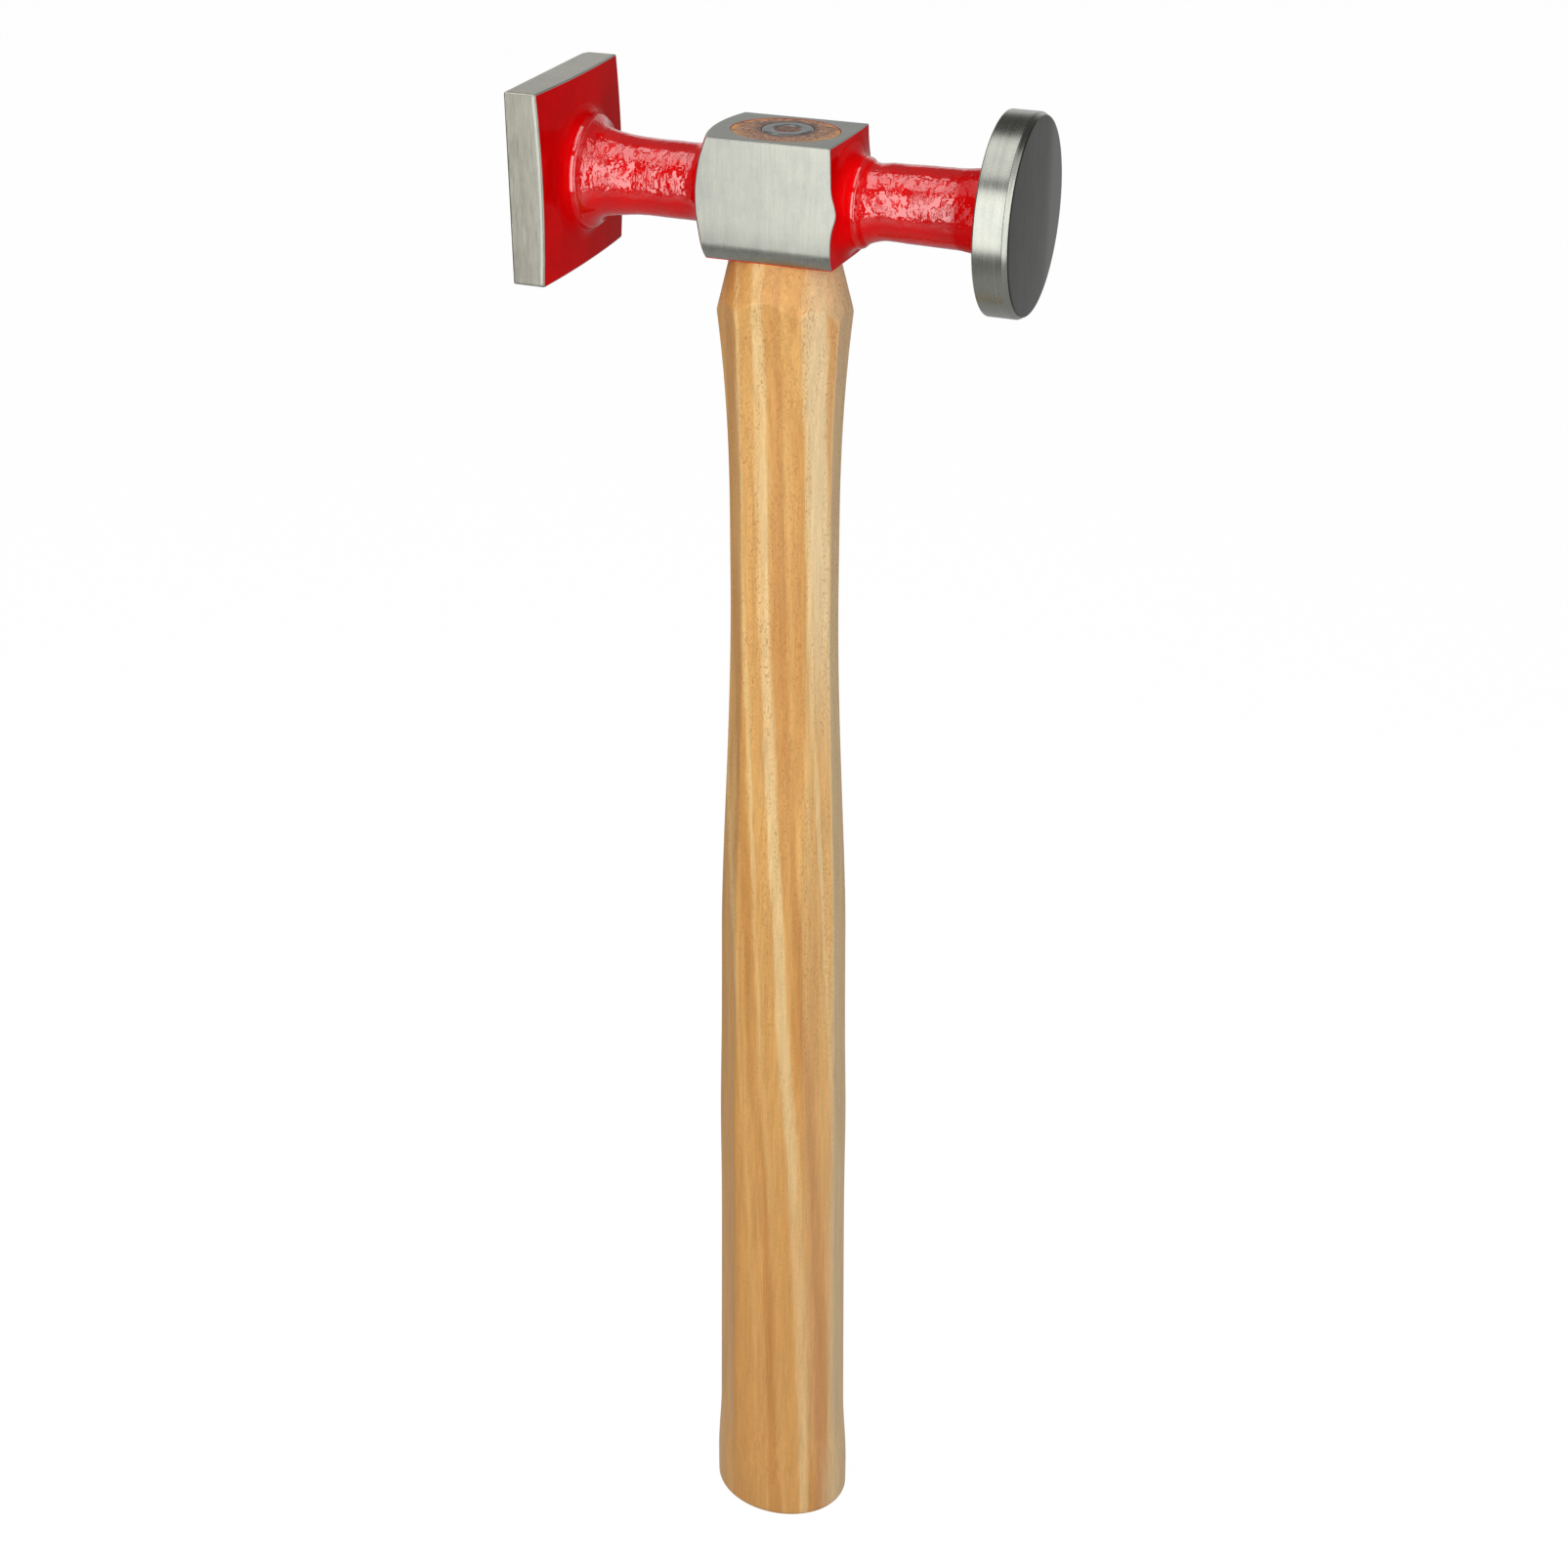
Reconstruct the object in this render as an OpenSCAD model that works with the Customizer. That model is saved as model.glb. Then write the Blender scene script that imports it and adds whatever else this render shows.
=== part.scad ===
// Body hammer for sheet metal: a forged steel head with a square and a round face,
// an ash handle with eight facets, and a ring wedge that swells the handle in the eye.
// +Z runs up the handle, X along the head, with the square face at -X.
// The origin is the centre of the handle's butt. Millimetres.

/* [Head] */
// Height of the head's axis above the butt of the handle
axis_h = 355; // [300:1:400]
// Length of the head from the square face to the crown of the round face
head_len = 105.5; // [98:0.1:116]

/* [Square face] */
// Side of the square face
square_w = 39.2; // [36:0.2:42]
// Thickness of the square plate at its corners
square_t = 7.2; // [5:0.1:9]
// Height of the crown on the back of the square plate, from its corners
back_crown = 1.4; // [0.6:0.1:2]
// Radius on the plate's corners
square_corner = 0.5; // [0.4:0.1:3]

/* [Round face] */
// Diameter of the round face
round_d = 40; // [36:0.5:42]
// Thickness of the round disc at its rim
round_t = 7.2; // [5:0.1:9]
// Height of the crown on the round face
face_crown = 0.4; // [0.2:0.05:1]
// Radius on the rim of the round face
rim_edge = 0.7; // [0.3:0.1:1.5]

/* [Necks] */
// Diameter of each neck where it leaves the eye block
neck_d = 15.2; // [14:0.1:18]
// Diameter of the round boss where a neck meets the back of the square plate
boss_d = 23.4; // [21:0.2:26]

/* [Eye block] */
// Width of the block across its ground cheeks
cheek_w = 22; // [21:0.1:25]
// Height of the block's flat top above the head's axis
block_top = 12.3; // [11.5:0.1:14]
// Depth of the block's underside below the head's axis
block_low = 12.6; // [12:0.1:15]
// Radius of the roll at the foot of each cheek
cheek_roll = 6; // [4.5:0.5:7]
// Length of the eye's mouth along the head
eye_len = 22.6; // [20:0.1:23]
// Width of the eye over its length
eye_ratio = 0.82; // [0.75:0.01:0.84]
// How much the eye narrows to its waist, on its length
eye_pinch = 1.0; // [0.4:0.1:2]

/* [Ring wedge] */
// Outer diameter of the ring wedge at its top
ring_d = 10.6; // [9:0.1:12]
// Diameter of the wooden core that the ring closes round
core_d = 5.3; // [4:0.1:6]
// Depth to which the ring is driven
ring_deep = 12; // [8:0.5:16]
// How far the ring sits off the middle of the eye, towards the back cheek
ring_off = 1.2; // [0:0.1:1.4]

/* [Handle] */
// Width of the handle at the butt
butt_w = 32.6; // [30:0.1:35]
// Thickness of the handle at the butt
butt_t = 24.4; // [22:0.1:28]
// Width of the handle at the upper end of the grip
grip_w = 28.6; // [27:0.1:32]
// Thickness of the handle at the upper end of the grip
grip_t = 21.0; // [19:0.1:24]
// Width of the handle at its waist
waist_w = 23.4; // [21:0.1:26]
// Thickness of the handle at its waist
waist_t = 14.5; // [13:0.1:18]
// Width of the handle at the shoulder under the head
shoulder_w = 27.0; // [25:0.1:29]
// Thickness of the handle at the shoulder under the head
shoulder_t = 22.0; // [19:0.1:23]
// How much the grip swells at its middle, on its width and on its thickness
grip_swell = 0.5; // [0:0.1:1.5]
// Height of the upper end of the grip
grip_h = 176; // [150:1:200]
// Height of the lower end of the waist
waist_h = 268; // [240:1:280]
// Length of the waist, where the handle is even
waist_len = 15; // [5:1:25]
// Height of the shoulder
shoulder_h = 329; // [315:1:336]
// Width of the rounded butt
knob_w = 35.2; // [34:0.1:37]
// Thickness of the rounded butt
knob_t = 28.2; // [26:0.1:31]
// Radius worn on the edge of the butt
butt_edge = 2.5; // [1:0.25:3.5]

/* [Hidden] */
$fn = 96;

lacquer_red = [0.78, 0.03, 0.04];
ground_steel = [0.68, 0.69, 0.66];
ash = [0.85, 0.66, 0.42];
wedge_steel = [0.48, 0.50, 0.50];

face_x = head_len/2;
eye_rx = eye_len/2;
// The left end of the block is a round pillow, the right end is almost flat
left_end_r = 33;
left_end_x = -17.3;
right_end_r = 300;
right_end_x = 14.15;
// The right end leans out a little towards the back cheek
right_end_lean = 6;
// A cutter or a buried end runs past the surface by this much
past = 2;

// Radii and places along the head of the necks and of their flares
neck_r = neck_d/2;
boss_r = boss_d/2;
collar_x = 17;
collar_r = 10;
neck_start = 19.6;
neck_grow = 0.25;
disc_sweep = 1.5;
disc_sweep_x = 36;
disc_fillet = 1.6;
disc_back = face_x - face_crown - round_t;
plate_back = -face_x + square_t + back_crown;
boss_fillet = 4.6;
sweep_start = 28;
sweep_grow = 120;

// Eased step from 0 to 1 with level ends
function ease(t) = t*t*(3 - 2*t);
// Points of an arc, from angle a0 to a1 in n steps
function arc(cx, cy, r, a0, a1, n) =
    [for (i = [0:n]) let(a = a0 + (a1 - a0)*i/n) [cx + r*cos(a), cy + r*sin(a)]];
// Rise of a crown of height h over the radius r_edge, seen at radius r
function crown(h, r_edge, r) = h*(1 - pow(r/r_edge, 2));
// Radius of the slender part of the square face's neck, at a distance from the axis
function sweep_r(x) = neck_r + 0.15 + pow(max(0, x - sweep_start), 2)/sweep_grow;

// Turns an outline of radius and place about the head's axis
module about_head_axis() {
    rotate([0, 90, 0])
        rotate_extrude()
            children();
}

// The round side: collar on the block, waisted neck, fillet, disc and crowned face
module round_side() {
    sunk = 5;
    collar = [[collar_r + 2, collar_x - sunk], [collar_r + 1.6, collar_x - 3.2],
        [collar_r + 1, collar_x - 1.9], [collar_r + 0.4, collar_x - 0.7]];
    flare = [for (i = [0:8]) let(t = i/8)
        [collar_r + (neck_r - collar_r)*ease(t), collar_x + (neck_start - collar_x)*t]];
    sweep = [for (i = [0:5]) let(t = i/6)
        [neck_r + neck_grow + disc_sweep*pow(t, 3), disc_sweep_x + (disc_back - disc_sweep_x)*t]];
    fillet_x = disc_back - disc_fillet;
    fillet_r = neck_r + neck_grow + disc_sweep + disc_fillet;
    fillet = arc(fillet_r, fillet_x, disc_fillet, 160, 90, 5);
    back_edge = 0.3;
    rim_r = round_d/2;
    rim_x = face_x - face_crown;
    rim = arc(rim_r - rim_edge, rim_x - rim_edge, rim_edge, 0, 80, 4);
    crown_r = rim_r - rim_edge;
    face = [for (i = [7:-1:1]) let(r = crown_r*i/8) [r, rim_x + crown(face_crown, crown_r, r)]];
    about_head_axis()
        polygon(concat([[0, collar_x - sunk]], collar, flare, sweep, fillet,
            [[rim_r - back_edge, disc_back], [rim_r, disc_back + back_edge]], rim, face, [[0, face_x]]));
}

// The neck of the square side: a flare on the block, a neck that sweeps out, a boss like a low drum
module square_neck() {
    buried_x = 13;
    flare_x = 16.2;
    flare_r = 9.6;
    slim_x = 20.5;
    boss_rise = 1.85;
    boss_side = 0.65;
    boss_round = 0.9;
    boss_turn = 62;
    foot_r = 1.5;
    start_turn = 12;
    boss_top = -plate_back - boss_rise;
    boss_x = boss_top - (boss_round + boss_fillet)*sin(boss_turn);
    bend_r = boss_r - boss_round + (boss_round + boss_fillet)*cos(boss_turn);
    sweep_end = boss_x + boss_fillet*sin(start_turn);
    flare = [for (i = [0:6]) let(t = i/6)
        [flare_r + (neck_r - flare_r)*ease(t), flare_x + (slim_x - flare_x)*t]];
    sweep = [for (i = [1:8]) let(x = slim_x + (sweep_end - slim_x)*i/9) [sweep_r(x), x]];
    boss_bend = arc(bend_r, boss_x, boss_fillet, 180 - start_turn, 180 - boss_turn, 6);
    boss_edge = arc(boss_r - boss_round, boss_top, boss_round, start_turn - boss_turn, 0, 4);
    boss_foot = arc(boss_r + foot_r, boss_top + boss_side, foot_r, 180, 100, 4);
    mirror([1, 0, 0])
        about_head_axis()
            polygon(concat([[0, buried_x], [flare_r + 0.6, buried_x]], flare, sweep, boss_bend,
                boss_edge, boss_foot, [[boss_r + foot_r, -plate_back + past], [0, -plate_back + past]]));
}

// The square plate with its crowned back
module square_plate() {
    half = square_w/2;
    c = half - square_corner;
    corners = concat(arc(c, c, square_corner, 0, 90, 4), arc(-c, c, square_corner, 90, 180, 4),
        arc(-c, -c, square_corner, 180, 270, 4), arc(c, -c, square_corner, 270, 360, 4));
    corner_reach = half*sqrt(2);
    back_x = -face_x + square_t;
    steps = 10;
    reach = 30;
    back = [for (i = [steps:-1:1]) let(r = reach*i/steps)
        [r, back_x + crown(back_crown, corner_reach, r)]];
    intersection() {
        translate([-face_x, 0, 0])
            rotate([90, 0, 90])
                linear_extrude(square_t + back_crown + past)
                    polygon(corners);
        about_head_axis()
            polygon(concat([[0, -face_x - past], [reach, -face_x - past]], back,
                [[0, back_x + back_crown]]));
    }
}

// The eye block: ground cheeks that roll under at the foot, ends that bulge
module eye_block() {
    half = cheek_w/2;
    roll_angle = 38;
    roll_z = -block_low + cheek_roll*sin(roll_angle);
    left_roll = arc(-half + cheek_roll, roll_z, cheek_roll, 180, 180 + roll_angle, 6);
    right_roll = arc(half - cheek_roll, roll_z, cheek_roll, -roll_angle, 0, 6);
    intersection() {
        rotate([90, 0, 90])
            linear_extrude(2*face_x, center = true)
                polygon(concat([[half, block_top], [-half, block_top]], left_roll, right_roll));
        translate([left_end_x + left_end_r, 0, 0])
            sphere(left_end_r);
        translate([right_end_x - right_end_r, right_end_lean, 0])
            sphere(right_end_r, $fn = 240);
    }
}

// Wood or air of the eye, narrow at its waist, from the underside to the flat top
module eye_shape(under, over) {
    waist_rx = eye_rx - eye_pinch/2;
    slope_low = (eye_rx - waist_rx)/block_low;
    slope_top = (eye_rx - waist_rx)/block_top;
    scale([1, eye_ratio, 1])
        rotate_extrude()
            polygon([[0, -block_low - under], [eye_rx + slope_low*under, -block_low - under],
                [waist_rx, 0], [eye_rx + slope_top*over, block_top + over], [0, block_top + over]]);
}

// Ground flats of the cheeks and of the top, which also trim the flares of the necks
module ground_flats() {
    length = 38;
    width = 60;
    depth = 20;
    for (side = [-1, 1])
        translate([0, side*(cheek_w + depth)/2, 0])
            cube([length, depth, width], center = true);
    translate([0, 0, block_top + depth/2])
        cube([length, width, depth], center = true);
}

module hammer_head() {
    translate([0, 0, axis_h])
        difference() {
            union() {
                color(lacquer_red)
                    difference() {
                        union() {
                            eye_block();
                            round_side();
                            square_neck();
                        }
                        ground_flats();
                    }
                color(ground_steel)
                    square_plate();
            }
            eye_shape(past, past);
        }
}

// Outline of the ring wedge: full at the top, a thin edge at the bottom
module ring_outline(over) {
    top_r = ring_d/2;
    draw_in = 0.5;
    edge_r = top_r - draw_in;
    edge_t = 0.6;
    slope = (edge_r - edge_t - core_d/2)/ring_deep;
    polygon([[core_d/2 - slope*over, over], [edge_r - edge_t, -ring_deep],
        [edge_r, -ring_deep], [top_r + draw_in*over/ring_deep, over]]);
}

module ring_wedge() {
    color(wedge_steel)
        translate([0, ring_off, axis_h + block_top])
            rotate_extrude()
                ring_outline(0);
}

// Where the grip is fullest, and how far its swell reaches up and down
swell_h = 126;
swell_reach = 18;
waist_end = waist_h + waist_len;
// Share of the way from the grip's size to the waist's, and from the waist's to the shoulder's
function waist_share(h) = ease(pow((h - grip_h)/(waist_h - grip_h), 0.85));
function shoulder_share(h) = pow((h - waist_end)/(shoulder_h - waist_end), 2.3);
// Width or thickness of the handle at a height, from its values at four heights
function along(h, butt, grip, waist, shoulder) =
    h < grip_h ? butt + (grip - butt)*h/grip_h + grip_swell*exp(-pow((h - swell_h)/swell_reach, 2)) :
    h < waist_h ? grip + (waist - grip)*waist_share(h) :
    h < waist_end ? waist :
    waist + (shoulder - waist)*shoulder_share(h);
function half_w(h) = along(h, butt_w, grip_w, waist_w, shoulder_w)/2;
function half_t(h) = along(h, butt_t, grip_t, waist_t, shoulder_t)/2;
// The corner facets take this share of the thickness, at 45 degrees
facet_share = 0.6;
function half_corner(h) = (half_w(h) + half_t(h)*(1 - facet_share))/sqrt(2);

shoulder_top = axis_h - block_low;
taper_h = 26;
rows = concat([0], [for (i = [-3:3]) swell_h + i*swell_reach*0.6],
    [for (i = [0:12]) grip_h + (waist_h - grip_h)*i/12],
    [for (i = [0:11]) waist_end + (shoulder_top - waist_end)*i/11]);

// The butt is a full oval up to the first of these heights and runs out under the facets at the last.
// In between, the oval trims the facets.
knob_level = 10;
trim_h = 20;
knob_h = 36;
knob_rx = knob_w/2;
knob_ratio = knob_t/knob_w;

// A slab with one pair of facets, from the half thickness at each row, turned about the handle
module facet_pair(halves, turn) {
    last = len(rows) - 1;
    rotate([0, 0, turn])
        rotate([90, 0, 0])
            linear_extrude(2*butt_w, center = true)
                polygon(concat([for (i = [0:last]) [halves[i], rows[i]]],
                    [for (i = [last:-1:0]) [-halves[i], rows[i]]]));
}

// Oval taper turned on the top of the handle, which leaves an arc on each facet
module turned_taper() {
    side_grow = 0.23;
    front_grow = 0.40;
    seat = 0.12;
    top_rx = eye_rx + seat;
    top_ry = eye_rx*eye_ratio + seat;
    low_rx = top_rx + side_grow*taper_h;
    low_ry = top_ry + front_grow*taper_h;
    translate([0, 0, shoulder_top])
        mirror([0, 0, 1])
            linear_extrude(taper_h, scale = [low_rx/top_rx, low_ry/top_ry], slices = 1)
                scale([1, top_ry/top_rx])
                    circle(top_rx, $fn = 72);
}

// Room for the facets between the butt and the turned taper
module facet_room() {
    low = trim_h - 1;
    high = shoulder_top - taper_h + 1;
    translate([-butt_w, -butt_w, low])
        cube([2*butt_w, 2*butt_w, high - low]);
}

// Oval cone at the butt, where the facets run out
module butt_trim() {
    low = butt_edge + 0.5;
    low_r = knob_rx - 0.1;
    high_r = knob_rx + 2.5;
    scale([1, knob_ratio, 1])
        rotate_extrude()
            polygon([[0, low], [low_r, low], [high_r, trim_h], [0, trim_h]]);
}

// The rounded butt: an oval with a worn edge, sawn flat underneath
module butt_knob() {
    high_r = knob_rx - 2.8;
    under = 0.5;
    under_r = knob_rx - butt_edge - 2;
    edge = arc(knob_rx - butt_edge, butt_edge, butt_edge, -75, 0, 5);
    side = [for (i = [0:8]) let(t = i/8)
        [knob_rx + (high_r - knob_rx)*ease(t), knob_level + (knob_h - knob_level)*t]];
    difference() {
        scale([1, knob_ratio, 1])
            rotate_extrude()
                polygon(concat([[0, -under], [under_r, -under]], edge, side, [[0, knob_h]]));
        translate([-knob_w, -knob_w, -2*under])
            cube([2*knob_w, 2*knob_w, 2*under]);
    }
}

module handle() {
    color(ash)
        difference() {
            union() {
                intersection() {
                    facet_pair([for (h = rows) half_w(h)], 0);
                    facet_pair([for (h = rows) half_t(h)], 90);
                    facet_pair([for (h = rows) half_corner(h)], 45);
                    facet_pair([for (h = rows) half_corner(h)], -45);
                    union() {
                        turned_taper();
                        facet_room();
                        butt_trim();
                    }
                }
                butt_knob();
                translate([0, 0, axis_h])
                    eye_shape(1, 0);
            }
            translate([0, ring_off, axis_h + block_top])
                rotate_extrude()
                    ring_outline(past);
        }
}

hammer_head();
handle();
ring_wedge();
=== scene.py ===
import math

import bpy
import numpy as np
from mathutils import Matrix, Vector, noise


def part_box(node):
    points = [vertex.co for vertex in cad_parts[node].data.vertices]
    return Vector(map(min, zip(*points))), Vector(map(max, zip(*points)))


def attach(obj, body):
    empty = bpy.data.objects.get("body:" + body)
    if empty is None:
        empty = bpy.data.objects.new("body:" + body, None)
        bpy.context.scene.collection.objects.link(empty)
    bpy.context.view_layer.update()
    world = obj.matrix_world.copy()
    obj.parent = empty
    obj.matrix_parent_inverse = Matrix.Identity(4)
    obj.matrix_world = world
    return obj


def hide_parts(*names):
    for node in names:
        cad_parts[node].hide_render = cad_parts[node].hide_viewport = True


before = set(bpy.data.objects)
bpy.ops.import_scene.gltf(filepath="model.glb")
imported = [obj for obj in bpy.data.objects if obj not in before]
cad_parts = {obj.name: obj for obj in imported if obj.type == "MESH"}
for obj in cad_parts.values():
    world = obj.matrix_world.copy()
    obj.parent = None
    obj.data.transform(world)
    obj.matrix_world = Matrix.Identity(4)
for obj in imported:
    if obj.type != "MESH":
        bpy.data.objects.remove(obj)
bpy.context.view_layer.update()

MM = 0.001

# Driving sizes, read from the frame
head_low, head_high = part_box("hammer_head")
handle_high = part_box("handle")[1]
AXIS_H = (head_low.z + head_high.z)/2/MM
FACE_X = head_high.x/MM
DISC_R = (head_high.z - head_low.z)/2/MM
BLOCK_TOP = handle_high.z/MM - AXIS_H

# The head's other sizes, as in the part's source
PLATE_HALF = 19.6
PLATE_T = 7.2
PLATE_CORNER = 0.5
BACK_CROWN = 1.4
CORNER_REACH = PLATE_HALF*math.sqrt(2)
DISC_T = 7.2
FACE_CROWN = 0.4
DISC_BACK = FACE_X - FACE_CROWN - DISC_T
NECK_R = 7.6
CHEEK_HALF = 11.0
BLOCK_LOW = 12.6
CHEEK_ROLL = 6.0
ROLL_ANGLE = 38.0
EYE_RX = 11.3
EYE_RATIO = 0.82
EYE_PINCH = 1.0
RING_R = 5.3
CORE_R = 2.65
RING_OFF = 1.2

# Points of a ring round the head: along each flat side, and on each corner
SIDE_POINTS, CORNER_POINTS = 68, 12
AROUND = 4*(SIDE_POINTS + CORNER_POINTS)


def about_axis(points):
    """From millimetres about the head's axis to metres in the frame."""
    return (np.asarray(points, float) + [0, 0, AXIS_H])*MM


def tint(red, green, blue):
    """A colour given as it looks on a screen, 0 to 255, as the linear colour that a shader takes."""
    def linear(value):
        share = value/255
        return share/12.92 if share <= 0.04045 else ((share + 0.055)/1.055)**2.4
    return (linear(red), linear(green), linear(blue), 1.0)


def smooth_step(value, low, high):
    """0 below low, 1 above high, and a smooth change between them."""
    t = np.clip((value - low)/(high - low), 0, 1)
    return t*t*(3 - 2*t)


# Outlines and skins

def stretch(start, end, count):
    """Points from start towards end, without the end."""
    share = np.arange(count)[:, None]/count
    return np.asarray(start, float)*(1 - share) + np.asarray(end, float)*share


def bend(centre, radius, first, last, count):
    """Points on an arc from one angle to another in degrees, without the last."""
    angle = np.radians(first + (last - first)*np.arange(count)/count)
    return np.stack([centre[0] + radius*np.cos(angle), centre[1] + radius*np.sin(angle)], 1)


def square_loop(half, radius):
    """Outline of the square plate. Its first point is at +Y."""
    inner = half - radius
    side, corner = SIDE_POINTS, CORNER_POINTS
    return np.concatenate([
        stretch((half, 0), (half, inner), side//2), bend((inner, inner), radius, 0, 90, corner),
        stretch((inner, half), (-inner, half), side), bend((-inner, inner), radius, 90, 180, corner),
        stretch((-half, inner), (-half, -inner), side), bend((-inner, -inner), radius, 180, 270, corner),
        stretch((-inner, -half), (inner, -half), side), bend((inner, -inner), radius, 270, 360, corner),
        stretch((half, -inner), (half, 0), side//2)])


def block_loop(edge=0.35, foot=0.5):
    """Outline of the eye block across the head: flat top, flat cheeks, rolled feet, flat underside."""
    turn = math.radians(ROLL_ANGLE)
    roll_y, roll_z = CHEEK_HALF - CHEEK_ROLL, -BLOCK_LOW + CHEEK_ROLL*math.sin(turn)
    foot_y = roll_y + CHEEK_ROLL*math.cos(turn) - foot
    foot_end = -ROLL_ANGLE - 6
    side, top, half_side = CHEEK_HALF - edge, BLOCK_TOP - edge, SIDE_POINTS//2
    upper = [stretch((CHEEK_HALF, 0), (CHEEK_HALF, top), half_side),
             bend((side, top), edge, 0, 90, CORNER_POINTS),
             stretch((side, BLOCK_TOP), (0, BLOCK_TOP), half_side)]
    lower = [stretch((0, -BLOCK_LOW), (foot_y, -BLOCK_LOW), 30),
             bend((foot_y, -BLOCK_LOW + foot), foot, -90, foot_end, 8),
             bend((roll_y, roll_z), CHEEK_ROLL, -ROLL_ANGLE, 0, 16),
             stretch((CHEEK_HALF, roll_z), (CHEEK_HALF, 0), 26)]

    # The cheeks lean in below the axis: first along a curve, then along its tangent
    lean_start, lean_depth, lean_curve = -4.0, 5.0, 0.0055
    for part in lower:
        below = np.maximum(0, lean_start - part[:, 1])
        lean = lean_curve*np.minimum(below, lean_depth)**2
        lean += 2*lean_curve*lean_depth*np.maximum(below - lean_depth, 0)
        part[:, 0] -= lean*np.clip(part[:, 0]/foot_y, 0, 1)
    right_upper, right_lower = np.concatenate(upper), np.concatenate(lower)
    mirror = np.array([-1, 1])
    left_upper = np.concatenate([[(0, BLOCK_TOP)], right_upper[:0:-1]*mirror])
    left_lower = np.concatenate([[(CHEEK_HALF, 0)], right_lower[:0:-1]])*mirror
    return np.concatenate([right_upper, left_upper, left_lower, right_lower])


def circle_loop(angles, radius, drop=0.0):
    return np.stack([radius*np.cos(angles), radius*np.sin(angles) + drop], 1)


def loop_angles(loop):
    """The angle of each point of an outline, without jumps."""
    return np.unwrap(np.arctan2(loop[:, 1], loop[:, 0]))


def inset(loop, distance):
    """The outline moved inwards by a distance or by one distance per point."""
    along = np.roll(loop, -1, 0) - np.roll(loop, 1, 0)
    along /= np.linalg.norm(along, axis=1, keepdims=True)
    inward = np.stack([-along[:, 1], along[:, 0]], 1)
    return loop + inward*np.broadcast_to(distance, len(loop))[:, None]


def ring(x, loop):
    """A ring round the head's axis: an outline in Y and Z, at one X or at one X per point."""
    return np.column_stack([np.broadcast_to(x, len(loop)), loop])


def level(z, loop):
    """A ring round an upright axis: an outline in X and Y, at one height or at one height per point."""
    return np.column_stack([loop, np.broadcast_to(z, len(loop))])


class Row:
    """A row of rings along an axis, with the finish of the band after each ring."""

    def __init__(self, as_ring):
        self.as_ring = as_ring
        self.rings, self.finishes = [], []
        self.angles = self.later = None

    def add(self, place, loop, finish):
        self.rings.append(self.as_ring(place, loop))
        self.finishes.append(finish)

    def circle(self, place, radius, finish, drop=0.0, share=0.0):
        """A round ring. Its points lie at the present angles, or nearer the later ones by a share."""
        angles = self.angles*(1 - share) + self.later*share
        self.add(place, circle_loop(angles, radius, drop), finish)


def skin(name, rings, finishes, finish_of_band):
    """One closed mesh over a row of rings in metres. finish_of_band gives the finish of each band,
    as one number or as one number per point of the ring."""
    around = len(rings[0])
    points = np.concatenate([rings[0].mean(0)[None], *rings, rings[-1].mean(0)[None]])
    here = np.arange(around)
    after = np.roll(here, -1)
    first = 1 + around*np.arange(len(rings) - 1)[:, None]
    quads = np.stack([first + here, first + after, first + around + after, first + around + here], -1)
    last_ring = 1 + around*(len(rings) - 1)
    start = np.stack([np.zeros_like(here), 1 + after, 1 + here], 1)
    end = np.stack([np.full_like(here, len(points) - 1), last_ring + here, last_ring + after], 1)
    bands = np.array([np.broadcast_to(band, around) for band in finish_of_band])
    mesh = bpy.data.meshes.new(name)
    mesh.from_pydata(points.tolist(), [], start.tolist() + quads.reshape(-1, 4).tolist() + end.tolist())
    for finish in finishes:
        mesh.materials.append(finish)
    index = np.concatenate([bands[0], bands.ravel(), bands[-1]]).astype(np.int32)
    mesh.polygons.foreach_set("material_index", index)
    mesh.shade_smooth()
    mesh.update()
    piece = bpy.data.objects.new(name, mesh)
    bpy.context.scene.collection.objects.link(piece)
    return piece


def relief(points, size, stretch_by=(1, 1, 1), seed=0.0):
    """Smooth noise at each point, about -1 to 1, with bumps of a size in millimetres."""
    scaled = np.asarray(points, float)*np.asarray(stretch_by)/size + seed
    return np.array([noise.noise(Vector(p)) for p in scaled])


# The head

LACQUER, LACQUER_FLAT, GROUND, TURNED, POLISHED, PLATE_SIDE = range(6)
LEFT_END_CENTRE, LEFT_END_R = 15.7, 33.0
RIGHT_END_X, RIGHT_END_R, RIGHT_END_LEAN = 14.15, 300.0, 6.0
LIP, LIP_START, LIP_REACH = 0.75, 9.0, 2.6
COLLAR_X, COLLAR_DROP = 14.1, -0.7
COLLAR_FOOT, COLLAR_R, COLLAR_RISE = 12.6, 9.1, 2.8
BACK_FOOT, BACK_BLEND = 3.4, 8.0
LEFT_NECK_R = NECK_R + 0.15
NECK_END_X, NECK_END_R = -16.4, 8.6
FILLET_R, DISC_FLARE = 1.6, 1.6


def plate_back_x(radius):
    """Where the plate's crowned back lies, at a distance from the axis."""
    return -FACE_X + PLATE_T + BACK_CROWN*(1 - (radius/CORNER_REACH)**2)


def left_end_x(loop):
    """The block's left end, a round pillow that is a little fuller near its foot."""
    most, start, end = 0.45, 5.5, 12.0
    fuller = most*smooth_step(-loop[:, 1], start, end)
    return LEFT_END_CENTRE - np.sqrt(LEFT_END_R**2 - (loop**2).sum(1)) - fuller


def right_end_x(loop):
    """The block's right end, almost flat, with a lip where the neck's collar meets the cheeks."""
    from_middle = np.linalg.norm(loop - [RIGHT_END_LEAN, 0], axis=1)
    flat = RIGHT_END_X - RIGHT_END_R + np.sqrt(RIGHT_END_R**2 - from_middle**2)
    from_collar = (loop[:, 1] - COLLAR_DROP)/LIP_REACH
    return flat + LIP*smooth_step(np.abs(loop[:, 0]), LIP_START, CHEEK_HALF)*np.exp(-from_collar**2)


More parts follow.
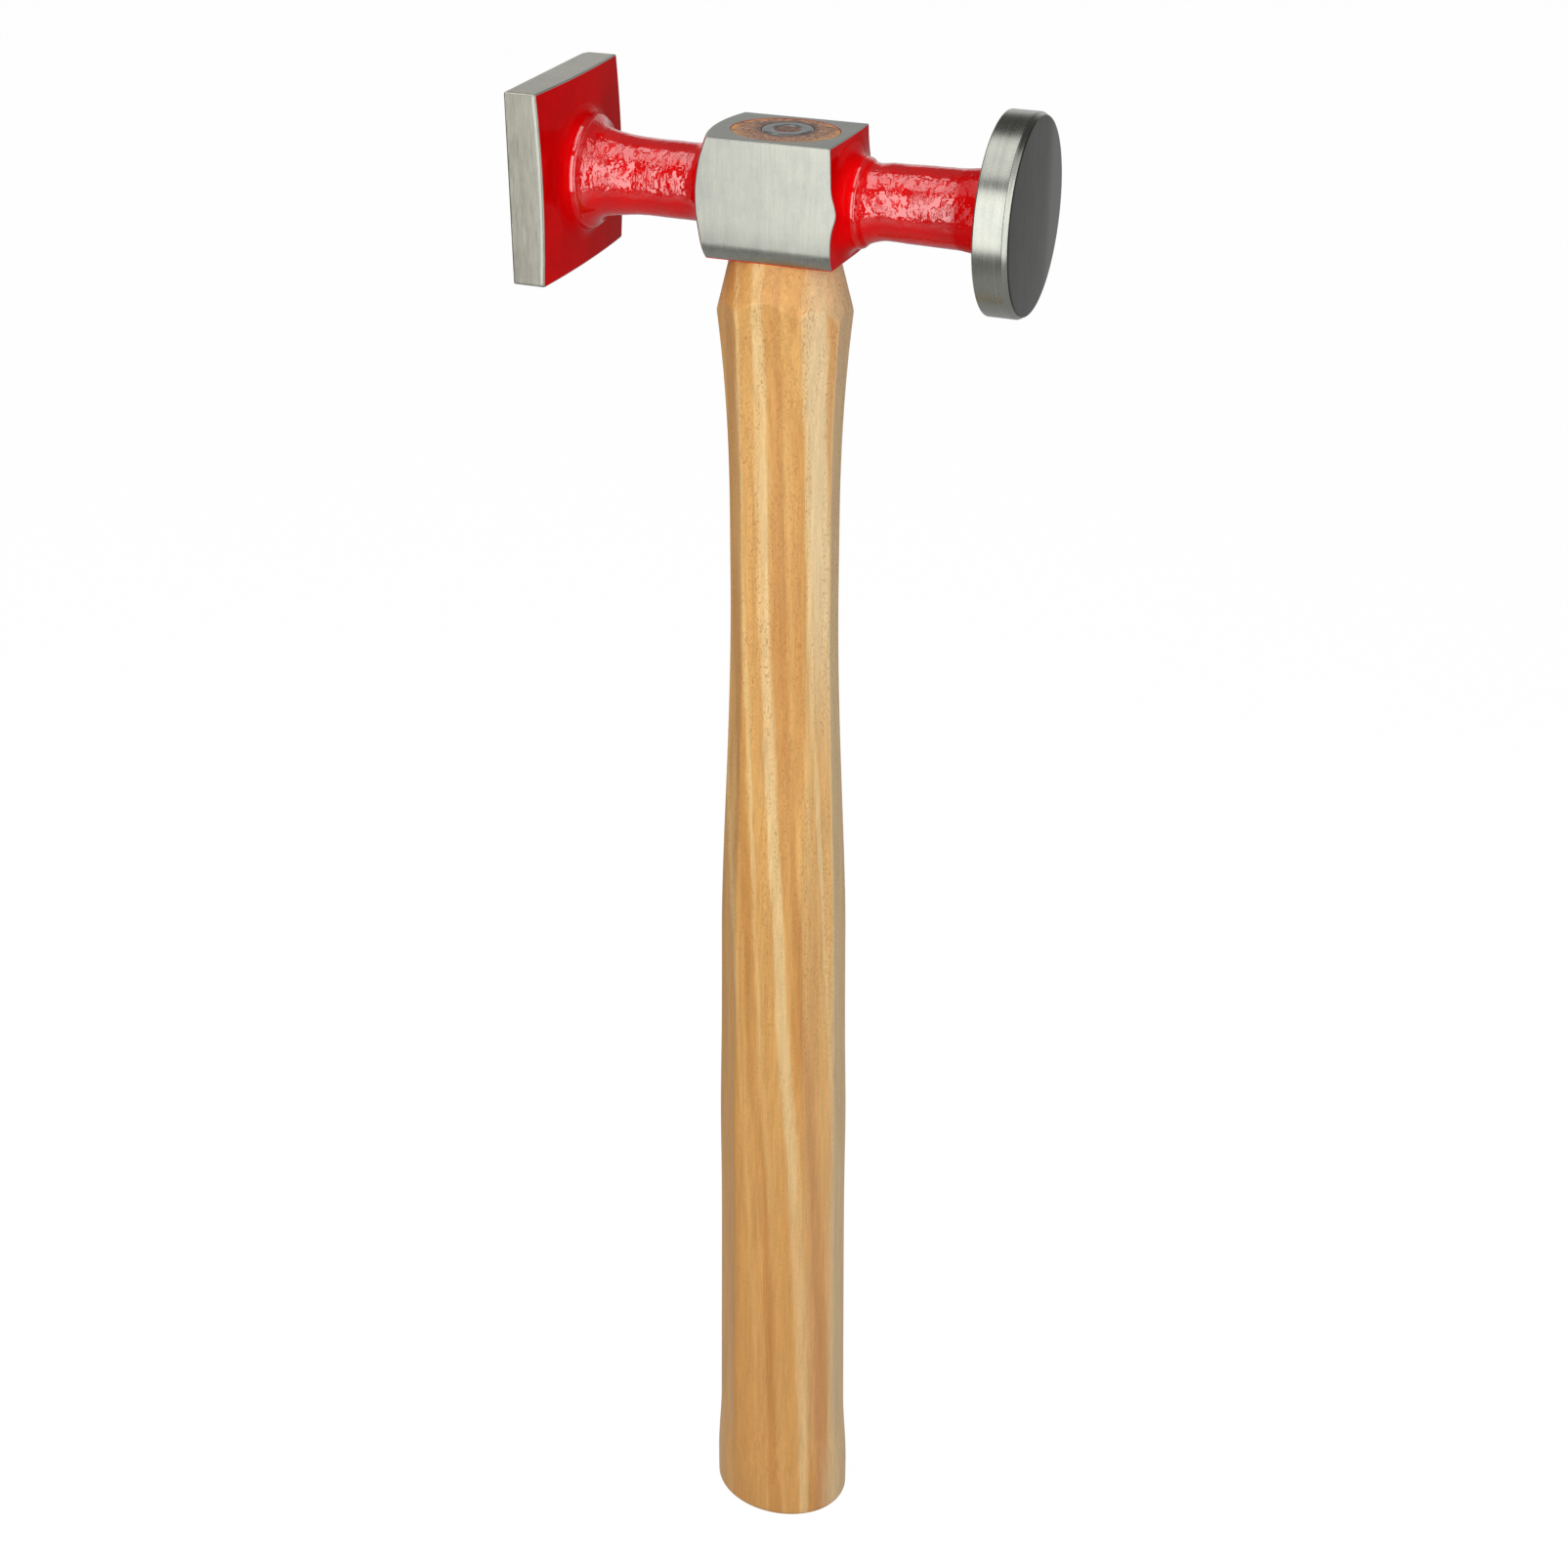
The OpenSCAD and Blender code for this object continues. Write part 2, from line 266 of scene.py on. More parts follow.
def collar_rise(loop):
    """How far the hollow foot of the neck's collar stands out from the block's right end."""
    from_neck = np.linalg.norm(loop - [0, COLLAR_DROP], axis=1)
    foot = COLLAR_FOOT + BACK_FOOT*smooth_step(loop[:, 0], 0, BACK_BLEND)
    share = np.clip((foot - from_neck)/(foot - COLLAR_R), 0, 1)
    return COLLAR_RISE*(1 - np.sqrt(1 - share**2))


def left_swell(x):
    """How much the left neck swells on its way to the boss."""
    swell_start, swell_length = 28.0, 120.0
    return max(0, -x - swell_start)**2/swell_length


def add_plate(row):
    """The square face, its worn edge, the ground sides and the rolled edge to the back."""
    square = square_loop(PLATE_HALF, PLATE_CORNER)
    worn, worn_more, face_corner, face_tilt = 0.35, 1.2, 0.15, 0.125
    worn_start, worn_end = 17.5, 19.5
    face_half = PLATE_HALF - worn
    face_edge = worn + worn_more*smooth_step(square[:, 0], worn_start, worn_end)
    face_loop = square_loop(face_half, face_corner)
    face_loop[:, 0] -= worn_more/2*(1 + face_loop[:, 0]/face_half)
    tilt = face_tilt*(1 - face_loop[:, 0]/PLATE_HALF)
    for share in (0.25, 0.5, 0.75, 0.9, 0.985):
        row.add(-FACE_X + face_tilt*(1 - share) + tilt*share, face_loop*share, POLISHED)
    for angle in np.radians(np.linspace(0, 90, 7)):
        loop = square + (face_loop - square)*(1 - math.sin(angle))
        row.add(-FACE_X + tilt + face_edge*(1 - math.cos(angle)), loop, PLATE_SIDE)

    # The edge to the back is rolled more on the front side, where the grinding belt dwelt
    edge, edge_more, roll_more = 0.25, 0.1, 0.65
    front_side = smooth_step(-square[:, 0], PLATE_HALF - 0.6, PLATE_HALF - 0.1)
    back_edge = edge + edge_more*front_side
    roll = back_edge + roll_more*front_side
    back_x = plate_back_x(np.linalg.norm(square, axis=1))
    side_start = -FACE_X + tilt + face_edge
    for share in (0.01, 0.15, 0.35, 0.55, 0.75, 0.9, 0.99):
        row.add(side_start + (back_x - roll - side_start)*share, square, PLATE_SIDE)
    for angle in np.radians(np.linspace(0, 90, 9)):
        row.add(back_x - roll*(1 - math.sin(angle)), inset(square, back_edge*(1 - math.cos(angle))), GROUND)
    row.finishes[-1] = LACQUER_FLAT
    return inset(square, back_edge)


def add_left_neck(row, foot):
    """The plate's lacquered back runs in to a round boss, which bends into the neck."""
    boss_r, boss_foot, boss_side, boss_taper = 11.7, 3.4, 0.4, 0.1
    boss_round, boss_top, boss_turn = 0.9, -42.3, math.radians(62)
    bend_r, bend_end = 4.6, math.radians(12)
    bend_x = boss_top + (boss_round + bend_r)*math.sin(boss_turn)
    bend_centre = boss_r - boss_taper - boss_round + (boss_round + bend_r)*math.cos(boss_turn)
    crowding = 1.25
    for share in 1 - (1 - np.linspace(0.004, 1, 40))**crowding:
        loop = foot*(1 - share) + circle_loop(row.angles, boss_r + boss_foot)*share
        row.add(plate_back_x(np.linalg.norm(loop, axis=1)), loop, LACQUER_FLAT)
    foot_x = plate_back_x(boss_r + boss_foot)
    side_x = boss_top - boss_side
    for angle in np.linspace(0.1, math.pi/2, 10):
        x = foot_x + (side_x - foot_x)*(1 - math.cos(angle))
        row.circle(x, boss_r + boss_foot*(1 - math.sin(angle)), LACQUER_FLAT)
    for share in (0.3, 0.6, 0.9):
        row.circle(side_x + boss_side*share, boss_r - boss_taper*share, LACQUER)
    for angle in np.linspace(math.radians(6), boss_turn, 9):
        radius = boss_r - boss_taper - boss_round*(1 - math.cos(angle))
        row.circle(boss_top + boss_round*math.sin(angle), radius, LACQUER)
    for angle in np.linspace(boss_turn - 0.04, bend_end, 24):
        row.circle(bend_x - bend_r*math.sin(angle), bend_centre - bend_r*math.cos(angle), LACQUER)

    # The neck settles to its own radius, and flares a little where it enters the block
    slim_x, settling, flaring = -19.5, 2.0, 2.2
    start_x = bend_x - bend_r*math.sin(bend_end) + 0.2
    start_r = bend_centre - bend_r*math.cos(bend_end) - 0.03
    for share in np.linspace(0.01, 1, 110):
        x = start_x + (slim_x - start_x)*share
        settle = (start_r - LEFT_NECK_R - left_swell(start_x))*math.exp(-(x - start_x)/settling)
        row.circle(x, LEFT_NECK_R + left_swell(x) + settle, LACQUER, share=share)
    for share in np.linspace(0.05, 1, 20):
        radius = LEFT_NECK_R + (NECK_END_R - LEFT_NECK_R)*share**flaring
        row.circle(slim_x + (NECK_END_X - slim_x)*share, radius, LACQUER, share=1)


def add_block(row, block):
    """The block's round left end, its ground flats and the edge of its right end."""
    edge, sinking = 0.22, 7.0
    foot = inset(block, edge)
    neck = circle_loop(row.angles, NECK_END_R)
    for share in np.linspace(0.06, 1, 18):
        loop = neck*(1 - share) + foot*share
        dip = (left_end_x(neck[:1])[0] - NECK_END_X)*math.exp(-share*sinking)
        row.add(left_end_x(loop) - dip, loop, LACQUER_FLAT)
    left_x = left_end_x(block)
    underside = np.abs(block[:, 1] + BLOCK_LOW) < 0.25
    body_finish = np.where(underside, LACQUER_FLAT, GROUND)
    for angle in np.radians(np.linspace(15, 90, 5)):
        row.add(left_x + edge*(1 - math.cos(angle)), inset(block, edge*(1 - math.sin(angle))), body_finish)
    right_x = right_end_x(block) + collar_rise(block)
    for share in np.concatenate([[0.004], np.linspace(0.02, 0.98, 40), [0.996]]):
        row.add(left_x + edge + (right_x - left_x - 2*edge)*share, block, body_finish)
    for angle in np.radians(np.linspace(0, 75, 5)):
        row.add(right_x - edge*(1 - math.sin(angle)), inset(block, edge*(1 - math.cos(angle))), body_finish)
    row.finishes[-1] = LACQUER_FLAT
    return foot


def add_collar(row, foot):
    """The block's right end, the hollow foot of the collar and the collar's ridge."""
    hollow_r, crowding = 10.5, 1.3
    hollow = circle_loop(row.angles, hollow_r, COLLAR_DROP)
    for share in 1 - (1 - np.linspace(0.02, 1, 26))**crowding:
        loop = foot*(1 - share) + hollow*share
        row.add(right_end_x(loop) + collar_rise(loop), loop, LACQUER_FLAT)
    hollow_x = right_end_x(hollow)
    for share in np.linspace(0, 1, 16)[1:]:
        radius = hollow_r + (COLLAR_R - hollow_r)*math.sin(share*math.pi/2)
        out = collar_rise(circle_loop(row.angles, radius, COLLAR_DROP))
        row.circle(hollow_x*(1 - share) + COLLAR_X*share + out, radius, LACQUER_FLAT, COLLAR_DROP)
    side, taper, rounding, turn = 0.35, 0.05, 0.7, math.radians(48)
    ridge_x = COLLAR_X + COLLAR_RISE
    for share in (0.3, 0.6, 1.0):
        row.circle(ridge_x + side*share, COLLAR_R - taper*share, LACQUER, COLLAR_DROP)
    for angle in np.linspace(0.1, turn, 7):
        radius = COLLAR_R - taper - rounding*(1 - math.cos(angle))
        row.circle(ridge_x + side + rounding*math.sin(angle), radius, LACQUER, COLLAR_DROP)

    # The neck starts just past the ridge, and a little inside it
    return ridge_x + side + rounding*math.sin(turn) + 0.03, radius - 0.02, turn


def add_right_neck(row, start_x, start_r, turn):
    """The neck falls away from the collar and grows a little towards the disc."""
    unevenness, early, late, late_start = 0.12, 0.25, 1.5, 35.0
    flare_length = (start_r - NECK_R)/math.tan(turn) + unevenness*np.sin(row.angles)
    end_x = DISC_BACK - FILLET_R
    for share in np.linspace(0.012, 1, 150):
        x = start_x + (end_x - start_x)*share
        flare = (start_r - NECK_R)*np.exp(-(x - start_x)/flare_length)
        late_share = max(0, x - late_start)/(DISC_BACK - late_start)
        grow = early*smooth_step(x, 20, late_start) + late*late_share**2
        drop = COLLAR_DROP*(1 - smooth_step(x, 18.2, 23))
        row.circle(x, NECK_R + flare + grow, LACQUER, drop, share)


def add_disc(row):
    """The fillet behind the disc, its back, its turned rim with a worn chamfer, and its crowned face."""
    fillet_x, fillet_end = DISC_BACK - FILLET_R, NECK_R + DISC_FLARE + FILLET_R
    for angle in np.radians(np.linspace(160, 92, 12)):
        row.circle(fillet_x + FILLET_R*math.sin(angle), fillet_end + FILLET_R*math.cos(angle), LACQUER)
    edge = 0.35
    for radius in np.linspace(fillet_end + 0.4, DISC_R - edge, 8):
        row.circle(DISC_BACK, radius, LACQUER_FLAT)
    for angle in np.radians(np.linspace(15, 90, 6)):
        row.circle(DISC_BACK + edge*(1 - math.cos(angle)), DISC_R - edge*(1 - math.sin(angle)), TURNED)
    rim_x = FACE_X - FACE_CROWN
    for x in np.linspace(DISC_BACK + edge + 0.05, rim_x - 1.3, 12):
        row.circle(x, DISC_R, TURNED)
    # How far each ring of the chamfer lies behind the face and inside the rim
    for behind, inside in ((1.2, 0.01), (1.12, 0.04), (0.9, 0.16), (0.65, 0.305)):
        row.circle(rim_x - behind, DISC_R - inside, TURNED)
    worn, first, polish_start = 0.4, math.radians(30), math.radians(40)
    face_r = DISC_R - 0.45 - worn
    for angle in np.linspace(first, math.radians(84), 8):
        x = rim_x - worn + worn*(math.sin(angle) - math.sin(first))/(1 - math.sin(first))
        finish = TURNED if angle < polish_start else POLISHED
        row.circle(x, face_r + worn*math.cos(angle)/math.cos(first), finish)
    for radius in np.linspace(0.99, 0.02, 24)*face_r:
        row.circle(rim_x + FACE_CROWN*(1 - (radius/face_r)**2), radius, POLISHED)


def head_rings():
    """Rings of the head from the square face to the round face, with the finish of each band."""
    row, block = Row(ring), block_loop()
    plate_foot = add_plate(row)
    row.angles, row.later = loop_angles(plate_foot), loop_angles(block)
    add_left_neck(row, plate_foot)
    row.angles, row.later = row.later, np.linspace(0, 2*math.pi, AROUND, endpoint=False)
    block_foot = add_block(row, block)
    collar_end = add_collar(row, block_foot)
    add_right_neck(row, *collar_end)
    row.angles = row.later
    add_disc(row)
    return row.rings, row.finishes[:-1]


def eye_cutter():
    """The oval eye, narrow at its waist, as a body to cut with."""
    angles = np.linspace(0, 2*math.pi, 144, endpoint=False)
    room, past, pinch = 0.06, 2.0, EYE_PINCH/2
    sections = ((-BLOCK_LOW - past, EYE_RX + pinch*past/BLOCK_LOW), (-BLOCK_LOW, EYE_RX),
                (0, EYE_RX - pinch),
                (BLOCK_TOP, EYE_RX), (BLOCK_TOP + past, EYE_RX + pinch*past/BLOCK_TOP))
    rings = []
    for z, radius in sections:
        rings.append(about_axis(level(z, circle_loop(angles, radius + room)*[1, EYE_RATIO])))
    return skin("eye_cutter", rings, [], [0]*(len(rings) - 1))


def forge(rings):
    """Adds the hammered and lacquered roughness of the necks to the rings."""
    # The height of each kind of bump, its size, its stretch and its seed
    bumps = ((0.07, 4.0, (1, 1, 1), 3.1), (0.03, 1.3, (1, 1, 1), 7.7), (0.014, 0.8, (1, 0.22, 0.22), 1.9))
    rough = []
    for points in rings:
        reach = np.abs(points[:, 0])
        share = smooth_step(reach, 17.5, 20)*(1 - smooth_step(reach, 37, 41))
        if share.max() > 0:
            height = sum(tall*relief(points, *kind) for tall, *kind in bumps)
            radius = np.linalg.norm(points[:, 1:], axis=1)
            points = points.copy()
            points[:, 1:] += points[:, 1:]/np.maximum(radius, 1)[:, None]*(height*share)[:, None]
        rough.append(points)
    return rough


def apply_modifiers(piece):
    """Replaces the piece's mesh with what its modifiers make of it."""
    graph = bpy.context.evaluated_depsgraph_get()
    mesh = bpy.data.meshes.new_from_object(piece.evaluated_get(graph), depsgraph=graph)
    piece.modifiers.clear()
    piece.data = mesh


def make_head(finishes):
    rings, bands = head_rings()
    head = skin("forged_head", [about_axis(points) for points in forge(rings)], finishes, bands)
    cutter = eye_cutter()
    cut = head.modifiers.new("eye", "BOOLEAN")
    cut.operation = "DIFFERENCE"
    cut.solver = "EXACT"
    cut.object = cutter
    bpy.context.view_layer.update()
    apply_modifiers(head)
    bpy.data.objects.remove(cutter)
    head.data.set_sharp_from_angle(angle=math.radians(40))
    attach(head, "root")
    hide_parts("hammer_head")


# The handle

SHOULDER_TOP = AXIS_H - BLOCK_LOW
GRIP_H, WAIST_H, WAIST_END, SHOULDER_H = 176.0, 268.0, 283.0, 329.0
GRIP_SWELL, SWELL_H, SWELL_REACH = 0.5, 126.0, 18.0
WAIST_EASE, SHOULDER_EASE = 0.85, 2.3
FACET_SHARE = 0.6

# Width and thickness at the butt, the end of the grip, the waist and the shoulder
WIDTHS = (32.6, 28.6, 23.4, 27.0)
THICKNESSES = (24.4, 21.0, 14.5, 22.0)

BUTT_EDGE = 2.5
KNOB_RX, KNOB_RY, KNOB_LEVEL, KNOB_H = 17.6, 14.1, 9.0, 31.0
TAPER_H, TAPER_X, TAPER_Y, SEAT = 26.0, 0.23, 0.40, 0.12
SOFT_TOP, SOFT_MORE = 1.0, 3.2
WOOD, END_GRAIN = range(2)


def along_handle(h, butt, grip, waist, shoulder):
    """Width or thickness of the handle at a height, from its values at four heights."""
    if h < GRIP_H:
        return butt + (grip - butt)*h/GRIP_H + GRIP_SWELL*math.exp(-((h - SWELL_H)/SWELL_REACH)**2)
    if h < WAIST_H:
        t = ((h - GRIP_H)/(WAIST_H - GRIP_H))**WAIST_EASE
        return grip + (waist - grip)*t*t*(3 - 2*t)
    return waist + (shoulder - waist)*(max(0, h - WAIST_END)/(SHOULDER_H - WAIST_END))**SHOULDER_EASE


def facet_loop(half_x, half_y, soft):
    """Octagon round the handle: wide faces, side faces and 45 degree corners, with soft edges."""
    chamfer = half_y*FACET_SHARE
    corners = [(half_x, -half_y + chamfer), (half_x, half_y - chamfer),
               (half_x - chamfer, half_y), (-half_x + chamfer, half_y),
               (-half_x, half_y - chamfer), (-half_x, -half_y + chamfer),
               (-half_x + chamfer, -half_y), (half_x - chamfer, -half_y)]
    corners = [np.array(corner) for corner in corners]
    edge_points, face_points = 8, 26
    cut = soft*math.tan(math.pi/8)
    t = np.arange(edge_points)[:, None]/edge_points
    loop = []
    for i, corner in enumerate(corners):
        following = corners[(i + 1) % 8]
        before = (corners[i - 1] - corner)/np.linalg.norm(corners[i - 1] - corner)
        after = (following - corner)/np.linalg.norm(following - corner)
        start, end = corner + before*cut, corner + after*cut
        loop.append(start*(1 - t)**2 + corner*2*t*(1 - t) + end*t*t)
        loop.append(stretch(end, following - after*cut, face_points))
    return np.concatenate(loop)


def limit_to_oval(loop, half_x, half_y, soft=0.12):
    """Keeps the outline inside an oval, with a short soft change where the two meet."""
    reach = np.hypot(loop[:, 0]/half_x, loop[:, 1]/half_y)
    radius = np.linalg.norm(loop, axis=1)
    oval = radius/reach
    gap = np.clip((oval - radius)/soft, -1, 1)
    blend = (1 - gap)/2
    kept = np.minimum(radius, oval)
    kept = np.where(np.abs(gap) < 1, radius*(1 - blend) + oval*blend - soft*blend*(1 - blend), kept)
    return loop*(kept/radius)[:, None]


def handle_section(h, worn=0.0):
    """The handle's outline at a height. Worn is how far the rounded edge of the butt draws it in."""
    soft = SOFT_TOP + SOFT_MORE*(1 - smooth_step(h, 40, 240))
    loop = facet_loop(along_handle(h, *WIDTHS)/2, along_handle(h, *THICKNESSES)/2, soft)
    if h < KNOB_H:
        oval_share = 1 - smooth_step(h, KNOB_LEVEL, KNOB_H)
        unit = loop/np.linalg.norm(loop, axis=1, keepdims=True)
        oval = unit/np.hypot(unit[:, 0]/KNOB_RX, unit[:, 1]/KNOB_RY)[:, None]
        loop = loop*(1 - oval_share) + (oval - unit*worn)*oval_share
    deep = SHOULDER_TOP - h
    if deep < TAPER_H + 2:
        loop = limit_to_oval(loop, EYE_RX + SEAT + TAPER_X*deep, EYE_RX*EYE_RATIO + SEAT + TAPER_Y*deep)
    return loop


def add_tenon(row, angles):
    """The tenon follows the eye, and its end was ground flush with the block's top."""
    edge, room = 0.25, 0.01

    def oval(radius):
        return circle_loop(angles, radius)*[1, EYE_RATIO]

    for share in np.linspace(0.02, 1, 24):
        z = -BLOCK_LOW + (BLOCK_TOP - edge + BLOCK_LOW)*share
        pinch = EYE_PINCH/2*(1 - abs(z)/(BLOCK_LOW if z < 0 else BLOCK_TOP))
        row.add(AXIS_H + z, oval(EYE_RX - pinch - room), WOOD)
    top = AXIS_H + BLOCK_TOP
    for angle in np.radians(np.linspace(25, 90, 4)):
        loop = oval(EYE_RX - room - edge*(1 - math.cos(angle)))
        row.add(top - edge*(1 - math.sin(angle)) - 0.02, loop, END_GRAIN)

    # The end grain runs in to the slot's mouth, down the slot, and up to the core inside the ring
    rim, mouth = oval(EYE_RX - edge), circle_loop(angles, RING_R + 0.07, RING_OFF)
    for share in np.linspace(0.03, 1, 40):
        loop = rim*(1 - share) + mouth*share
        row.add(top - 0.03 - end_dent(loop), loop, END_GRAIN)
    centre = np.array([0, RING_OFF])
    for radius, depth in ((RING_R + 0.05, 0.3), (RING_R, 1.2), (CORE_R + 0.25, 1.2), (CORE_R + 0.02, 0.3)):
        row.add(top - depth, (mouth - centre)*radius/RING_R + centre, END_GRAIN)
    for share in (0.98, 0.9, 0.75, 0.5, 0.25, 0.05):
        loop = (mouth - centre)*share*(CORE_R - 0.05)/RING_R + centre
        row.add(top - 0.12 - end_dent(loop), loop, END_GRAIN)


def handle_rings():
    """Rings of the handle from the butt up through the eye to the core inside the ring wedge."""
    row = Row(level)
    for share in (0.2, 0.4, 0.6, 0.8, 0.95):
        row.add(0, handle_section(0, BUTT_EDGE)*share, WOOD)
    for angle in np.radians(np.linspace(0, 90, 10)):
        h = BUTT_EDGE*(1 - math.cos(angle))
        row.add(h, handle_section(h, BUTT_EDGE*(1 - math.sin(angle))), WOOD)
    taper_low = SHOULDER_TOP - TAPER_H
    grip = np.linspace(BUTT_EDGE + 0.5, taper_low - 2, 200)
    for h in [*grip, *np.linspace(taper_low - 1.75, SHOULDER_TOP, 112)]:
        row.add(h, handle_section(h), WOOD)
    add_tenon(row, loop_angles(handle_section(SHOULDER_TOP)))
    return row.rings, row.finishes[:-1]


def end_dent(loop):
    """Depth of the fibres' roughness and of the short check in the ground end of the tenon."""
    points = np.column_stack([loop, np.zeros(len(loop))])
    fibres = 0.035*(relief(points, 0.7, seed=5.5) + 1)/2 + 0.03*(relief(points, 2.2, seed=2.5) + 1)/2
    check_start, check_end = np.array([-0.2, -6.9]), np.array([1.9, -8.6])
    check_depth, check_width = 0.35, 0.22
    way = check_end - check_start
    t = np.clip(((loop - check_start) @ way)/(way @ way), 0, 1)
    away = np.linalg.norm(loop - check_start - t[:, None]*way, axis=1)
    return fibres + check_depth*np.exp(-(away/check_width)**2)


def make_handle(finishes):
    rings, bands = handle_rings()
    handle = skin("ash_handle", [points*MM for points in rings], finishes, bands)
    handle.data.set_sharp_from_angle(angle=math.radians(50))
    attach(handle, "root")
    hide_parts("handle")


# The ring wedge

def make_ring_wedge(finish):
    """A steel ring with rolled edges and a slightly uneven driven end."""
    angles = np.linspace(0, 2*math.pi, 160, endpoint=False)
    depth = 1.1
    profile = [(CORE_R + 0.03, -depth), (CORE_R + 0.03, -0.5), (CORE_R + 0.05, -0.25),
               (CORE_R + 0.16, -0.1), (CORE_R + 0.34, -0.03), (CORE_R + 0.8, 0), (RING_R - 1.2, 0),
               (RING_R - 0.5, 0), (RING_R - 0.2, -0.05), (RING_R - 0.06, -0.16),
               (RING_R - 0.02, -0.35), (RING_R - 0.02, -depth)]
    rings = []
    for radius, z in profile:
        circle = np.stack([radius*np.cos(angles), radius*np.sin(angles), np.full_like(angles, z)], 1)
        worn = 0.03*(relief(circle, 1.6, seed=4.2) + 1)/2
        circle[:, 2] -= worn*(z > -0.4)
        rings.append(about_axis(circle + [0, RING_OFF, BLOCK_TOP]))
    mesh = bpy.data.meshes.new("steel_ring_wedge")
    around = len(angles)
    index = np.arange(len(rings)*around).reshape(-1, around)
    following = np.roll(index, -1, 0)
    faces = np.stack([index, np.roll(index, -1, 1), np.roll(following, -1, 1), following], -1)
    mesh.from_pydata(np.concatenate(rings).tolist(), [], faces.reshape(-1, 4).tolist())
    mesh.materials.append(finish)
    mesh.shade_smooth()
    mesh.update()
    mesh.set_sharp_from_angle(angle=math.radians(60))
    wedge = bpy.data.objects.new("steel_ring_wedge", mesh)
    bpy.context.scene.collection.objects.link(wedge)
    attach(wedge, "root")
    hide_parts("ring_wedge")


# Finishes

def feed(tree, socket, value):
    """Gives an input a socket to follow or a plain value, or leaves it as it is for None."""
    if isinstance(value, bpy.types.NodeSocket):
        tree.links.new(value, socket)
    elif value is not None:
        socket.default_value = value


def add_node(tree, kind, *values, **settings):
    """Adds a node with its settings and its first inputs."""
    node = tree.nodes.new("ShaderNode" + kind)
    for key, value in settings.items():
        setattr(node, key, value)
    for socket, value in zip(node.inputs, values):
        feed(tree, socket, value)
    return node


class Finish:
    """Builds one material, node by node."""

    def __init__(self, name):
        self.material = bpy.data.materials.new(name)
        self.material.use_nodes = True
        self.tree = self.material.node_tree
        self.shader = self.tree.nodes["Principled BSDF"]
        self.place = self.add("TexCoord", out="Object")

    def add(self, kind, *values, out=0, named=None, **settings):
        """Adds a node with its first inputs and its named ones, and gives one of its outputs."""
        node = add_node(self.tree, kind, *values, **settings)
        for key, value in (named or {}).items():
            feed(self.tree, node.inputs[key], value)
        return node.outputs[out]

    def math(self, operation, *values):
        return self.add("Math", *values, operation=operation)

    def times(self, first, *others):
        for other in others:
            first = self.math("MULTIPLY", first, other)
        return first

    def away(self, value, middle):
        """The distance of a value from a middle."""
        return self.math("ABSOLUTE", self.math("SUBTRACT", value, middle))

    def axes(self, vector):
        return add_node(self.tree, "SeparateXYZ", vector).outputs

    def millimetres(self):
        """The place on the object in millimetres, as three sockets."""
        return self.axes(self.scaled(1/MM, 1/MM, 1/MM))

    def scaled(self, *factors):
        """The place on the object, stretched along each axis."""
        return self.add("VectorMath", self.place, factors, operation="MULTIPLY")

    def noise(self, place, size, detail=2.0, roughness=0.5):
        """Noise from 0 to 1, with features of about a size in millimetres."""
        return self.add("TexNoise", named={"Vector": place, "Scale": 1/(size*MM), "Detail": detail,
                                           "Roughness": roughness})

    def remap(self, value, low, high, to_low=0.0, to_high=1.0, kind="SMOOTHSTEP"):
        return self.add("MapRange", value, low, high, to_low, to_high, interpolation_type=kind)

    def spread(self, value, to_low, to_high):
        """Stretches what noise mostly gives, 0.25 to 0.75, over another range."""
        return self.remap(value, 0.25, 0.75, to_low, to_high, "LINEAR")

    def mix(self, share, first, second, how="MIX"):
        """A colour between two others. The node's colour sockets come after those for numbers."""
        node = add_node(self.tree, "Mix", share, data_type="RGBA", blend_type=how)
        feed(self.tree, node.inputs[6], first)
        feed(self.tree, node.inputs[7], second)
        return node.outputs[2]

    def lighter(self, colour, amount):
        """The colour times a plain number or a socket."""
        grey = self.add("CombineColor", amount, amount, amount)
        return self.mix(1.0, colour, grey, "MULTIPLY")

    def bump(self, height, distance, under=None):
        """A bumped normal. The distance is in millimetres, and under is a normal to add to."""
        return self.add("Bump", named={"Height": height, "Distance": distance*MM, "Normal": under})

    def facing(self):
        """The surface's own direction, which is fixed to the object at rest."""
        return self.axes(self.add("TexCoord", out="Normal"))

    def set(self, **values):
        for key, value in values.items():
            feed(self.tree, self.shader.inputs[key.replace("_", " ")], value)


def lacquer(name, index, gloss, forged):
    """Red lacquer over forged steel, with the forging's roughness showing on the necks."""
    f = Finish(name)
    cloud = f.noise(f.place, 7.0, 3.0)
    colour = f.mix(f.remap(cloud, 0.3, 0.7), tint(206, 2, 5), tint(220, 4, 7))
    speck = f.noise(f.place, 0.9, 2.0, 0.6)
    colour = f.mix(f.remap(speck, 0.70, 0.78, 0.0, 0.35), colour, tint(150, 6, 10))
    normal = f.bump(f.noise(f.place, 1.1, 2.0), 0.003)
    if forged:
        colour = f.lighter(colour, 0.9)
        gloss, normal = forged_roughness(f, gloss, normal)
    dull = f.remap(f.noise(f.place, 2.5, 3.0), 0.3, 0.7, 0.03, 0.07)
    f.set(Base_Color=colour, Roughness=dull, Normal=normal, IOR=index, Specular_IOR_Level=gloss)
    return f.material


